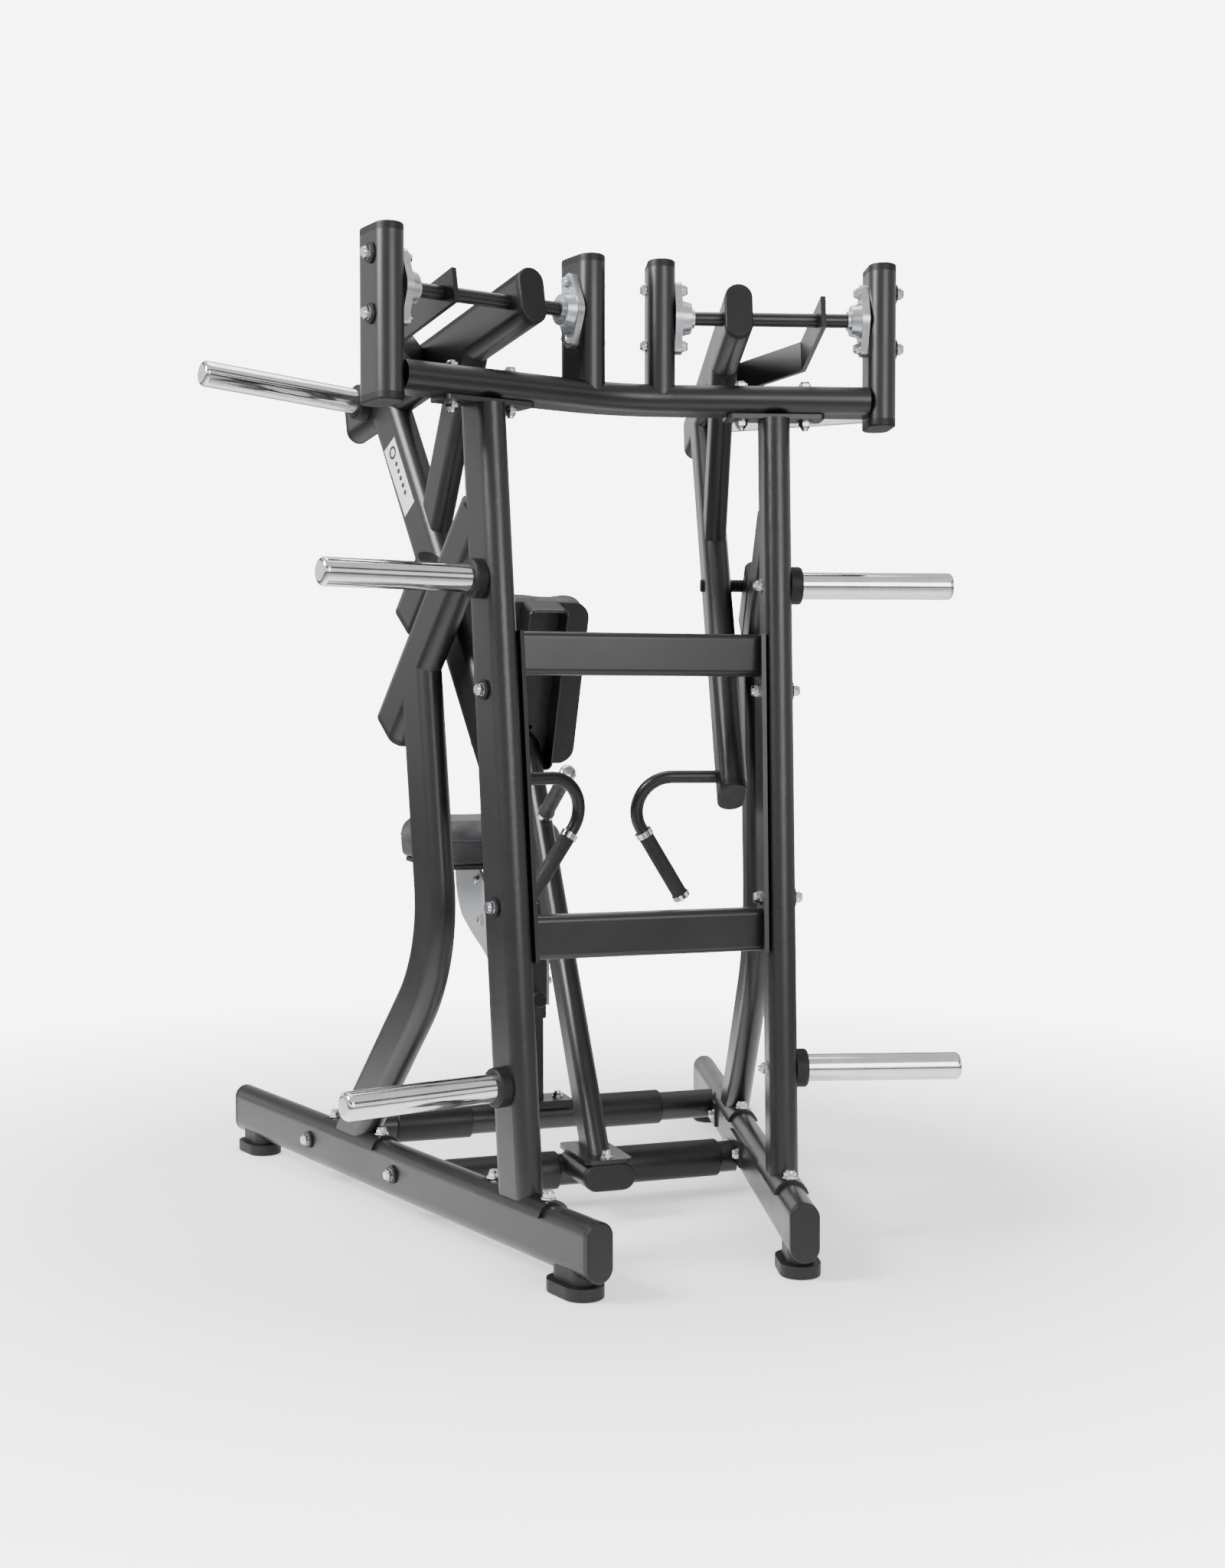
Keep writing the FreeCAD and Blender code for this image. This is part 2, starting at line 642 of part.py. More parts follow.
# ---------------------------------------------------------------- chest pad post, carrier and pad
post_dir = V(0, math.sin(math.radians(POST_LEAN)), math.cos(math.radians(POST_LEAN)))
post_front = V(0, -math.cos(math.radians(POST_LEAN)), math.sin(math.radians(POST_LEAN)))
pad_up = V(0, -math.sin(math.radians(PAD_LEAN)), math.cos(math.radians(PAD_LEAN)))
pad_out = V(0, math.cos(math.radians(PAD_LEAN)), math.sin(math.radians(PAD_LEAN)))
post_base = V(0, POST_FOOT_Y, POST_FOOT_Z)
carrier_origin = V(0, CARRIER_Y, CARRIER_Z)

post_plate = rounded_bar(post_base - Z * 8.0, post_base, X, T, 92.0, 172.0, 14.0)
post_end = post_base + post_dir * 1100.0
post_long = oval_bar(post_base - post_dir * 60.0, post_end, post_front, X, POST_L, POST_W)
post_long = post_long.cut(block(-100, 100, 0, 1200, -200, POST_FOOT_Z))

carrier_mid = carrier_origin + pad_up * ((CARRIER_FROM + CARRIER_TO) / 2.0)
carrier_len = CARRIER_TO - CARRIER_FROM
carrier = rounded_bar(carrier_mid, carrier_mid + pad_out * CARRIER_D, X, pad_up, CARRIER_W, carrier_len, 14.0)
carrier = soft_edges(carrier, 6.0, rim(carrier_mid, pad_out, 0.0))
web_face = carrier_mid + pad_out * (CARRIER_D - CARRIER_WEB)
tray_w = CARRIER_W - 2 * CARRIER_WALL
tray_l = carrier_len - 2 * CARRIER_WALL
tray = rounded_bar(carrier_mid - pad_out, web_face, X, pad_up, tray_w, tray_l, 10.0)
hole_from = carrier_origin + pad_out * (CARRIER_D - CARRIER_WEB - 1.0)
hole = Part.makeCylinder(5.0, CARRIER_WEB + 2.0, hole_from, pad_out)
carrier = carrier.cut(tray).cut(hole)
past_carrier = carrier_mid + pad_out * (CARRIER_D * 0.6)
pad_side = rounded_bar(past_carrier, past_carrier + pad_out * 900.0, X, pad_up, 400.0, 2400.0, 14.0)
post = post_long.cut(carrier).cut(pad_side)
post = sorted(post.Solids, key=lambda s: s.BoundBox.ZMin)[0]
save("chest_pad_post", [post.fuse(post_plate).removeSplitter()])
save("chest_pad_carrier", [carrier])
post_bolts = []
for dy in (-66.0, 70.0):
    post_bolts.append(hex_head(V(0, POST_FOOT_Y + dy, POST_FOOT_Z), Z, 17.0, 11.0, 24.0))
save("post_bolts", post_bolts)

pad_back = carrier_origin + pad_up * PAD_MID + pad_out * CARRIER_D
board = rounded_bar(pad_back, pad_back + pad_out * BOARD_T, X, pad_up, PAD_W - 14.0, PAD_H - 14.0, 34.0)
save("chest_pad_board", [board])
pad_root = pad_back + pad_out * BOARD_T
chest_pad = rounded_bar(pad_root, pad_root + pad_out * PAD_T, X, pad_up, PAD_W, PAD_H, 40.0)
pad_face = pad_root + pad_out * PAD_T
chest_pad = soft_edges(chest_pad, 16.0, rim(pad_face, pad_out, 0.0))
chest_pad = soft_edges(chest_pad, 7.0, rim(pad_root, pad_out, 0.0))
save("chest_pad", [chest_pad])

# fixed grip standing square on the post, for the free hand
grip_along = (POST_GRIP_Z - POST_FOOT_Z) / post_dir.z
grip_root = post_base + post_dir * grip_along + post_front * (POST_L / 2.0)
stem = rod(grip_root - post_front * 3.0, grip_root + post_front * (POST_GRIP_L + 12.0), 24.0).cut(post)
grip_sleeve = ring(grip_root + post_front * 16.0, grip_root + post_front * POST_GRIP_L, 30.0, 24.0)
save("post_grip_sleeve", [grip_sleeve])
collar_low = ring(grip_root + post_front * 4.0, grip_root + post_front * 16.0, 35.0, 24.0)
dome_at = grip_root + post_front * POST_GRIP_L
dome = rod(dome_at, dome_at + post_front * 22.0, 34.0)
dome = soft_edges(dome, 10.0, rim(dome_at, post_front, 22.0))
dome = dome.cut(stem)
save("post_grip_metal", [stem, collar_low, dome])


# ---------------------------------------------------------------- seat
seat_foot_z = FAR_CROSS_Z + CROSS_D / 2.0
seat_base = square_post(seat_foot_z - 10.0, seat_foot_z + 6.0, 170.0, 12.0, 84.0)
seat_base = seat_base.cut(far_cross)
seat_base = sorted(seat_base.Solids, key=lambda s: s.Volume)[-1]
post_core = square_post(seat_foot_z + 6.0, SEAT_POST_TOP, SEAT_POST_S, 6.0)
hole_z = SEAT_SLEEVE_Z[0] + 45.0
seat_post = seat_base.fuse(post_core)
for i in range(-5, 3):
    z = hole_z + 25.0 * i
    if seat_foot_z + 20.0 < z < SEAT_POST_TOP - 15.0:
        seat_post = seat_post.cut(rod(V(0, SEAT_POST_Y - 40.0, z), V(0, SEAT_POST_Y - 12.0, z), 11.0))
save("seat_post", [seat_post.removeSplitter()])
seat_base_bolts = []
for x in (-62.0, 62.0):
    seat_base_bolts.append(hex_head(V(x, SEAT_POST_Y, seat_foot_z + 6.0), Z, 17.0, 10.0, 24.0))
save("seat_base_bolts", seat_base_bolts)

s0, s1 = SEAT_SLEEVE_Z
inner = SEAT_POST_S + 2 * SEAT_FIT
sleeve_outer = square_post(s0, s1, SEAT_SLEEVE_S, 8.0)
sleeve_inner = square_post(s0 - 1.0, s1 + 1.0, inner, 6.5)
sleeve = sleeve_outer.cut(sleeve_inner)
boss_root = SEAT_POST_Y - SEAT_SLEEVE_S / 2.0
pin_face = boss_root - 18.0
pin_boss = rod(V(0, boss_root + 2.0, hole_z), V(0, pin_face, hole_z), 26.0)
pin_bore = rod(V(0, SEAT_POST_Y - 24.0, hole_z), V(0, SEAT_POST_Y - 60.0, hole_z), 10.6)
sleeve = sleeve.fuse(pin_boss.cut(sleeve_inner)).cut(pin_bore).removeSplitter()
save("seat_sleeve", [sleeve])
save("seat_sleeve_cap", [square_post(s1, s1 + CAP_T, SEAT_SLEEVE_S, 8.0)])

# paired side plates reach back from the sleeve and carry the seat
half_s = SEAT_SLEEVE_S / 2.0
outline = [
    (SEAT_POST_Y - 26.0, 332.0), (SEAT_POST_Y + 26.0, 332.0), (1195.0, 412.0), (1236.0, 426.0),
]
curve_a = (1330.0, 454.0)
curve_b = (1398.0, 480.0)
curve_c = (1440.0, 525.0)
curve_d = (1458.0, SEAT_UNDER_Z - 4.0)
top_back = (1245.0, SEAT_UNDER_Z - 4.0)
top_front = (1215.0, 572.0)
neck = (1100.0, 522.0)
shoulder = (SEAT_POST_Y + 40.0, 530.0)
near_top = (SEAT_POST_Y - 26.0, 530.0)


def at_x(x, yz):
    return V(x, yz[0], yz[1])


gussets = []
for x in (half_s, -half_s - GUSSET_T):
    edges = [
        Part.makeLine(at_x(x, outline[0]), at_x(x, outline[1])),
        Part.makeLine(at_x(x, outline[1]), at_x(x, outline[2])),
        Part.makeLine(at_x(x, outline[2]), at_x(x, outline[3])),
        Part.Arc(at_x(x, outline[3]), at_x(x, curve_a), at_x(x, curve_b)).toShape(),
        Part.Arc(at_x(x, curve_b), at_x(x, curve_c), at_x(x, curve_d)).toShape(),
        Part.makeLine(at_x(x, curve_d), at_x(x, top_back)),
        Part.makeLine(at_x(x, top_back), at_x(x, top_front)),
        Part.makeLine(at_x(x, top_front), at_x(x, neck)),
        Part.makeLine(at_x(x, neck), at_x(x, shoulder)),
        Part.makeLine(at_x(x, shoulder), at_x(x, near_top)),
        Part.makeLine(at_x(x, near_top), at_x(x, outline[0])),
    ]
    gussets.append(Part.Face(Part.Wire(edges)).extrude(X * GUSSET_T))
seat_bracket = block(-70.0, 70.0, 1245.0, 1458.0, SEAT_UNDER_Z - 4.0, SEAT_UNDER_Z)
save("seat_carrier", gussets + [seat_bracket])
seat_bolts = []
for y, z in ((1251.0, 572.0), (1220.0, 486.0), (SEAT_POST_Y, 380.0), (SEAT_POST_Y, 490.0)):
    for s in (-1, 1):
        seat_bolts.append(hex_head(V(s * (half_s + GUSSET_T), y, z), X * s, 17.0, 9.0, 24.0))
save("seat_bolts", seat_bolts)
seat_mid = V(0, SEAT_Y, SEAT_UNDER_Z)
board_w = SEAT_W - 2 * SEAT_BOARD_IN
board_l = SEAT_L - 2 * SEAT_BOARD_IN
seat_board = rounded_bar(seat_mid, seat_mid + Z * BOARD_T, X, T, board_w, board_l, 42.0)
save("seat_board", [seat_board])
seat_low = seat_mid + Z * BOARD_T
seat_top = seat_mid + Z * SEAT_T
cushion = rounded_bar(seat_low, seat_top, X, T, SEAT_W, SEAT_L, 58.0)
cushion = soft_edges(cushion, 32.0, lambda e: e.BoundBox.ZMin > SEAT_UNDER_Z + SEAT_T - 0.1)
save("seat_cushion", [cushion])

pin = rod(V(0, SEAT_POST_Y - SEAT_POST_S / 2.0 - BODY_GAP, hole_z), V(0, pin_face - 12.0, hole_z), 10.0)
knob = rod(V(0, pin_face - 1.0, hole_z), V(0, pin_face - 27.0, hole_z), 34.0)
knob = soft_edges(knob, 6.0, lambda e: e.BoundBox.YMax < pin_face - 26.0)
save("seat_pin", [pin.fuse(knob).removeSplitter()])


# ---------------------------------------------------------------- levers
drop = math.radians(ARM_DROP)
arm_aim = V(0, math.cos(drop), -math.sin(drop))
arm_up = V(0, math.sin(drop), math.cos(drop))
pivot = V(ARM_U, SHAFT_T, SHAFT_Z)
arm = oval_bar(pivot + arm_aim * ARM_NEAR, pivot + arm_aim * (ARM_FAR - CAP_T), arm_up, U)

pull_aim = lean(PULL_LEAN)
pull_side = V(0, math.cos(math.radians(PULL_LEAN)), -math.sin(math.radians(PULL_LEAN)))
pull_mid = V(ARM_U, PULL_T, PULL_Z)
pull_low = pull_mid + pull_aim * ((PULL_LOW_Z - PULL_Z) / pull_aim.z)
pull = oval_bar(pull_low, pull_low + pull_aim * 850.0, pull_side, U)
over_near = pivot + arm_aim * -500.0 - U * 60.0
over_far = pivot + arm_aim * 1500.0 - U * 60.0
ceiling = plate([over_near, over_far, over_far + arm_up * 900.0, over_near + arm_up * 900.0], U * 120.0)
pull = pull.cut(ceiling)

strut_top = V(ARM_U, STRUT_TOP[0], STRUT_TOP[1])
strut_low = V(ARM_U, STRUT_LOW[0], STRUT_LOW[1])
strut_aim = (strut_top - strut_low).normalize()
strut_side = V(0, strut_aim.z, -strut_aim.y)
strut = oval_bar(strut_low, strut_top, strut_side, U, STRUT_L, STRUT_W)
strut_collar = oval_bar(strut_top - strut_aim * 44.0, strut_top, strut_side, U, 92.0, OVAL_W)

# flat bar brace: parallel to the loading arm, then turned in to meet it
bar_path = [(BRACE_U, -42.0), (BRACE_U, BRACE_ELBOW), (ARM_U + 10.0, BRACE_END)]


def on_arm(u, t):
    return V(u, SHAFT_T + t * math.cos(drop), SHAFT_Z - t * math.sin(drop))


def brace_leg(p, q, up_half):
    run = on_arm(q[0], q[1]) - on_arm(p[0], p[1])
    side = run.cross(arm_up).normalize() * (BRACE_T / 2.0)
    lift = arm_up * up_half
    a = on_arm(p[0], p[1])
    b = on_arm(q[0], q[1])
    return plate([a - side - lift, b - side - lift, b - side + lift, a - side + lift], side * 2.0)


elbow = on_arm(*bar_path[1])
knuckle = Part.makeCylinder(BRACE_T / 2.0, BRACE_H, elbow - arm_up * (BRACE_H / 2.0), arm_up)
brace = brace_leg(bar_path[0], bar_path[1], BRACE_H / 2.0).fuse(knuckle)
brace = brace.fuse(brace_leg(bar_path[1], bar_path[2], BRACE_H / 2.0))

shaft_from = inner_out + 1.5
shaft_to = outer_in - 1.5
shaft = rod(V(shaft_from, SHAFT_T, SHAFT_Z), V(shaft_to, SHAFT_T, SHAFT_Z), SHAFT_D)
lever = arm.fuse([pull, strut, strut_collar, brace, shaft]).removeSplitter()
save("right_lever_frame", [right(lever)])
save("left_lever_frame", [left(lever)])

lever_caps = [
    tube_cap(pivot + arm_aim * ARM_NEAR, arm_aim * -1, arm_up, U),
    tube_cap(pivot + arm_aim * (ARM_FAR - CAP_T), arm_aim, arm_up, U),
    tube_cap(pull_low, pull_aim * -1, pull_side, U),
]
horn_aim = V(math.cos(math.radians(ARM_HORN_TILT)), 0, math.sin(math.radians(ARM_HORN_TILT)))
arm_face = ARM_U + OVAL_W / 2.0
horn_z = SHAFT_Z - (ARM_HORN_T - SHAFT_T) * math.tan(drop) + 4.0
horn_root = V(arm_face - 6.0, ARM_HORN_T, horn_z)
collar_depth = COLLAR_T + 6.0
horn_tip = horn_root + horn_aim * (ARM_HORN_FREE_U - arm_face + 6.0)
lever_horn = horn_shape(horn_root + horn_aim * collar_depth, horn_tip, HORN_D)
lever_collar = collar_shape(horn_root, horn_aim, COLLAR_D, collar_depth).cut(arm)

# handle: short bar inwards, one wide bend, then the slanted grip
tilt = math.radians(HANDLE_TILT)
fall = V(0, math.sin(tilt), -math.cos(tilt))
bar_root = V(ARM_U - OVAL_W / 2.0, HANDLE_T, PULL_Z)
turn = math.radians(180.0 - HANDLE_DROP)
reach = HANDLE_BEND_R * math.tan(turn / 2.0)
corner = V(HANDLE_CORNER_U, HANDLE_T, PULL_Z)
grip_aim = U * math.cos(math.radians(HANDLE_DROP)) + fall * math.sin(math.radians(HANDLE_DROP))
bend_start = corner + U * reach
bend_end = corner + grip_aim * reach
bend_centre = bend_start + fall * HANDLE_BEND_R
bend_middle = bend_centre + (corner - bend_centre).normalize() * HANDLE_BEND_R
grip_start = bend_end + grip_aim * 6.0
grip_end = grip_start + grip_aim * (2 * RING_W + GRIP_LEN)
handle_path = Part.Wire([
    Part.makeLine(bar_root, bend_start),
    Part.Arc(bend_start, bend_middle, bend_end).toShape(),
    Part.makeLine(bend_end, grip_end - grip_aim * 3.0),
])
handle_ring = Part.Face(Part.Wire([Part.makeCircle(HANDLE_D / 2.0, bar_root, U)]))
handle = sweep(handle_path, handle_ring)
root_plug = rod(bar_root + U * 12.0, bar_root, HANDLE_D)
handle = handle.fuse(root_plug).cut(arm).cut(pull).removeSplitter()
handle = sorted(handle.Solids, key=lambda s: s.Volume)[-1]
grip_from = grip_start + grip_aim * RING_W
grip_to = grip_from + grip_aim * GRIP_LEN
grip = ring(grip_from, grip_to, GRIP_D, HANDLE_D)
ring_top = ring(grip_start, grip_from, RING_D, HANDLE_D)
ring_low = rod(grip_to, grip_to + grip_aim * RING_W, RING_D).cut(handle)
at_tip = rim(grip_to, grip_aim, RING_W)
ring_low = soft_edges(ring_low, 3.0, lambda e: e.Length > 3.0 * HANDLE_D and at_tip(e))

# rubber bumper beside the pull arm, resting on the stop
bump = diag_mid + above * (STOP_HEIGHT + BUMPER_D / 2.0 + BODY_GAP) + down * 21.0
bumper = rod(V(arm_face, bump.y, bump.z), V(RAIL_U + 19.0, bump.y, bump.z), BUMPER_D)
arm_back = ARM_U - OVAL_W / 2.0
bumper_cap = rod(V(arm_back - 6.0, bump.y, bump.z), V(arm_back, bump.y, bump.z), BUMPER_D)

for name, place in (("right", right), ("left", left)):
    save(name + "_lever_caps", [place(s) for s in lever_caps])
    save(name + "_lever_horn", [place(lever_horn)])
    save(name + "_lever_collar", [place(lever_collar)])
    save(name + "_handle_bar", [place(handle)])
    save(name + "_handle_grip", [place(grip)])
    save(name + "_handle_rings", [place(ring_top), place(ring_low)])
    save(name + "_bumper", [place(bumper), place(bumper_cap)])

total = FreeCAD.BoundBox()
for name, count, box in written:
    total.add(box)
    print("%-24s solids %2d" % (name, count))
print("nodes", len(written), "box", [round(v, 1) for v in
      (total.XMin, total.XMax, total.YMin, total.YMax, total.ZMin, total.ZMax)])
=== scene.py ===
import math

import bmesh
import bpy
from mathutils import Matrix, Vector


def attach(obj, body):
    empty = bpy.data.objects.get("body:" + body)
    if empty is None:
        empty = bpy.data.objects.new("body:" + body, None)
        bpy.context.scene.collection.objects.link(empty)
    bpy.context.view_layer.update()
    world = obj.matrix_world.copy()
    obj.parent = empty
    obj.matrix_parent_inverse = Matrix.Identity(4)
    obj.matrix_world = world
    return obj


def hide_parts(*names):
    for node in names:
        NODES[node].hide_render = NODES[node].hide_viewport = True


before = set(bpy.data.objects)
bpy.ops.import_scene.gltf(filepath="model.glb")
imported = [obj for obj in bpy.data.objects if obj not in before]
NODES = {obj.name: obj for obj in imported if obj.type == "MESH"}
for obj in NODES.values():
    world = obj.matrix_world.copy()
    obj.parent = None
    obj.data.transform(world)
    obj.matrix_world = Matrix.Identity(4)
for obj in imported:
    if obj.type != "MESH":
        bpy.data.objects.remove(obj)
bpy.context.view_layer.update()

MM = 0.001

# ------------------------------------------------------------ driving dimensions, millimetres
Y_MID = 782.3
TOWER_Y = 425.0
SPLAY = 15.0
PAD_LEAN = 20.5
PAD_ROOT = (0.0, 927.0, 892.0)
CARRIER_D = 64.0
BOARD_T = 9.0
PAD_MID = 90.0
PAD_SIZE = (224.0, 367.0)
PAD_SEAM = 43.0
SEAT_ROOT = (0.0, 1378.0, 607.0)
SEAT_SIZE = (318.0, 384.0)
SEAT_SEAM = 55.0
LEVER_FACE_U = 236.5
CHEST_CORNER = 40.0
SEAT_CORNER = 58.0
CORNER_STEPS = 8
BOARD_AIR = 0.3
WELT_R = 2.4
WELT_STEP = 10.0
WELT_SINK = 0.6

# ------------------------------------------------------------ how the cushions are blown up
CUSHION_SHRINK = 0.978
VOXEL = 5.0
CLOTH_FRAMES = 20
CLOTH_PRESSURE = 4.0
CHEST_SWELL = 9.0
SEAT_SWELL = 10.0
RELAX_SHARE = 0.5
RELAX_TURNS = 14


# ------------------------------------------------------------ node trees
def srgb(code):
    """Hex colour to linear RGBA."""
    parts = [int(code[i:i + 2], 16) / 255.0 for i in (1, 3, 5)]
    line = [p / 12.92 if p <= 0.04045 else ((p + 0.055) / 1.055) ** 2.4 for p in parts]
    return (*line, 1.0)


def add(tree, kind, settings=None, links=None):
    """One shader node with its settings and incoming links."""
    node = tree.nodes.new(kind)
    for key, value in (settings or {}).items():
        if isinstance(key, str) and hasattr(node, key):
            setattr(node, key, value)
        else:
            node.inputs[key].default_value = value
    for key, source in (links or {}).items():
        tree.links.new(source, node.inputs[key])
    return node


CLOUD = "ShaderNodeTexNoise"
CELL = "ShaderNodeTexVoronoi"


def per_mm(size):
    """Texture scale whose pattern repeats about every size millimetres."""
    return 1000.0 / size


def finish(name, shades, drift_mm, speck_mm, gloss, relief, settings):
    """One finish as a material.

    shades are its two colours; clouds drift_mm wide and specks speck_mm wide move it between them.
    gloss is the roughness at either end of that drift.  relief lists its bumps from coarse to fine:
    pattern, width in mm, depth in mm, strength.
    """
    material = bpy.data.materials.new(name)
    material.use_nodes = True
    tree = material.node_tree
    tree.nodes.clear()
    place = add(tree, "ShaderNodeTexCoord").outputs["Object"]
    cloud = add(tree, CLOUD, {"Scale": per_mm(drift_mm), "Detail": 4.0, "Roughness": 0.6}, {"Vector": place})
    speck = add(tree, CLOUD, {"Scale": per_mm(speck_mm), "Detail": 2.0}, {"Vector": place})
    both = add(tree, "ShaderNodeMath", {"operation": "ADD"}, {0: cloud.outputs[0], 1: speck.outputs[0]})
    share = add(tree, "ShaderNodeMapRange", {1: 0.75, 2: 1.25, 3: 0.0, 4: 1.0}, {0: both.outputs[0]})
    colour = add(tree, "ShaderNodeMix", {"data_type": "RGBA", 6: srgb(shades[0]), 7: srgb(shades[1])},
                 {0: share.outputs[0]})
    rough = add(tree, "ShaderNodeMapRange", {1: 0.3, 2: 0.7, 3: gloss[0], 4: gloss[1]}, {0: cloud.outputs[0]})
    normal = None
    for pattern, width, depth, strength in relief:
        height = add(tree, pattern, {"Scale": per_mm(width)}, {"Vector": place}).outputs[0]
        links = {"Height": height}
        if normal is not None:
            links["Normal"] = normal
        normal = add(tree, "ShaderNodeBump", {"Strength": strength, "Distance": depth * MM}, links).outputs[0]
    body = add(tree, "ShaderNodeBsdfPrincipled", settings, {
        "Base Color": colour.outputs[2], "Roughness": rough.outputs[0], "Normal": normal})
    add(tree, "ShaderNodeOutputMaterial", {}, {"Surface": body.outputs[0]})
    return material


# ------------------------------------------------------------ materials
# polyester powder coat: near-black satin with a fine orange peel and broad soft highlights
BLACK_PAINT = finish(
    "black_powder_coat", ("#0c0c0d", "#131314"), 160.0, 2.4, (0.31, 0.39),
    ((CLOUD, 12.0, 0.05, 0.2), (CLOUD, 1.1, 0.12, 0.5)), {"IOR": 1.5})
# the same coat in mid grey, on the seat's side plates
GREY_PAINT = finish(
    "grey_powder_coat", ("#85878a", "#909296"), 160.0, 2.4, (0.38, 0.47),
    ((CLOUD, 12.0, 0.05, 0.2), (CLOUD, 1.1, 0.12, 0.5)), {"IOR": 1.5})
# bright chrome plate on turned tube: mirror streaks under a faint polishing haze
CHROME = finish(
    "chrome_plate", ("#cfd0d1", "#e2e2e3"), 45.0, 3.0, (0.07, 0.14),
    ((CLOUD, 30.0, 0.03, 0.2), (CLOUD, 3.0, 0.01, 0.5)), {"Metallic": 1.0})
# zinc-plated bolts: pale, slightly milky metal
ZINC = finish(
    "zinc_plated_steel", ("#b3b5b9", "#cdd0d4"), 25.0, 3.0, (0.20, 0.32),
    ((CLOUD, 3.0, 0.01, 0.5),), {"Metallic": 1.0})
# silver-painted iron castings: sandy skin, soft glints
CASTING = finish(
    "silver_cast_iron", ("#a9acb0", "#c8cbce"), 30.0, 1.8, (0.24, 0.38),
    ((CLOUD, 9.0, 0.2, 0.3), (CLOUD, 1.8, 0.25, 0.6)), {"Metallic": 0.9})
# turned aluminium rings: pale satin metal
TURNED = finish(
    "turned_aluminium", ("#c6c8ca", "#dcdee0"), 20.0, 2.0, (0.16, 0.26),
    ((CLOUD, 2.0, 0.01, 0.5),), {"Metallic": 1.0})
# moulded natural-rubber collars, feet and bumpers: deep black, matt
RUBBER = finish(
    "black_rubber", ("#080809", "#0f0f10"), 60.0, 1.6, (0.50, 0.64),
    ((CLOUD, 1.6, 0.25, 0.6),), {"IOR": 1.5, "Specular IOR Level": 0.35})
# closed-cell foam sleeves on the foot bars: black with a long soft shine
SLEEVE = finish(
    "foam_rubber_sleeve", ("#070708", "#0e0e0f"), 60.0, 2.2, (0.36, 0.48),
    ((CLOUD, 2.2, 0.3, 0.6),), {"IOR": 1.5, "Specular IOR Level": 0.35})
# pebbled rubber grips: small raised dots that break up the shine
PEBBLED = finish(
    "pebbled_grip_rubber", ("#0b0b0c", "#171718"), 40.0, 2.6, (0.52, 0.74),
    ((CELL, 2.6, -0.5, 0.8), (CLOUD, 0.9, 0.1, 0.4)), {"IOR": 1.5})
# injection-moulded polyethylene caps and knobs: smooth, dull black
PLASTIC = finish(
    "black_polyethylene", ("#060607", "#0c0c0d"), 60.0, 1.0, (0.44, 0.56),
    ((CLOUD, 1.0, 0.12, 0.6),), {"IOR": 1.5, "Specular IOR Level": 0.35})
# black-painted plywood behind the cushions: grain just showing through
BOARD = finish(
    "black_painted_plywood", ("#0b0b0c", "#141416"), 40.0, 2.5, (0.5, 0.62),
    ((CLOUD, 8.0, 0.1, 0.3), (CLOUD, 2.5, 0.2, 0.6)), {"IOR": 1.5})
# grained upholstery vinyl: fine leather cells over soft shallow folds
VINYL = finish(
    "grained_vinyl", ("#1d1e20", "#2a2b2e"), 22.0, 1.7, (0.44, 0.58),
    ((CLOUD, 22.0, 0.7, 0.35), (CELL, 1.7, 0.25, 0.6)),
    {"IOR": 1.5, "Sheen Weight": 0.06, "Sheen Roughness": 0.5})
# off-white printed vinyl of the arm labels
LABEL = finish(
    "white_vinyl_label", ("#d6d7d8", "#e4e5e6"), 40.0, 4.0, (0.34, 0.44),
    ((CLOUD, 4.0, 0.02, 0.3),), {"IOR": 1.5})

FINISH = {
    "chest_pad": VINYL, "seat_cushion": VINYL,
    "chest_pad_board": BOARD, "seat_board": BOARD,
    "base_caps": PLASTIC, "frame_caps": PLASTIC, "seat_sleeve_cap": PLASTIC, "seat_pin": PLASTIC,
    "left_lever_caps": PLASTIC, "right_lever_caps": PLASTIC,
    "foot_pads": RUBBER, "storage_collars": RUBBER, "left_bumper": RUBBER, "right_bumper": RUBBER,
    "left_lever_collar": RUBBER, "right_lever_collar": RUBBER,
    "foot_rest_sleeves": SLEEVE,
    "left_handle_grip": PEBBLED, "right_handle_grip": PEBBLED, "post_grip_sleeve": PEBBLED,
    "left_handle_rings": TURNED, "right_handle_rings": TURNED, "post_grip_metal": TURNED,
    "storage_horns": CHROME, "left_lever_horn": CHROME, "right_lever_horn": CHROME,
    "bearings": CASTING, "seat_carrier": GREY_PAINT, "black_washers": PLASTIC, "foot_pedestals": PLASTIC,
}
for name, piece in NODES.items():
    bolt = name.endswith("bolts") or name.endswith("nuts")
    piece.data.materials.clear()
    piece.data.materials.append(FINISH.get(name, ZINC if bolt else BLACK_PAINT))


# ------------------------------------------------------------ places
def machine(point):
    """Millimetres in the part's drawing to metres in the row frame."""
    return Vector((point[0], point[1] - Y_MID, point[2])) * MM


def side_point(side, u, t, z):
    """Side frame of one half: u outwards along the shaft, t along the splayed side."""
    a = math.radians(SPLAY)
    x = side * (u * math.cos(a) + t * math.sin(a))
    return machine((x, TOWER_Y - u * math.sin(a) + t * math.cos(a), z))


def side_axes(side):
    """Directions of u and t for one half."""
    a = math.radians(SPLAY)
    outward = Vector((side * math.cos(a), -math.sin(a), 0))
    along = Vector((side * math.sin(a), math.cos(a), 0))
    return outward, along


lean = math.radians(PAD_LEAN)
PAD_UP = Vector((0, -math.sin(lean), math.cos(lean)))
PAD_OUT = Vector((0, math.cos(lean), math.sin(lean)))
X_AXIS = Vector((1, 0, 0))
Y_AXIS = Vector((0, 1, 0))
Z_AXIS = Vector((0, 0, 1))
chest_root = machine(PAD_ROOT) + PAD_UP * PAD_MID * MM + PAD_OUT * (CARRIER_D + BOARD_T) * MM
seat_root = machine(SEAT_ROOT)


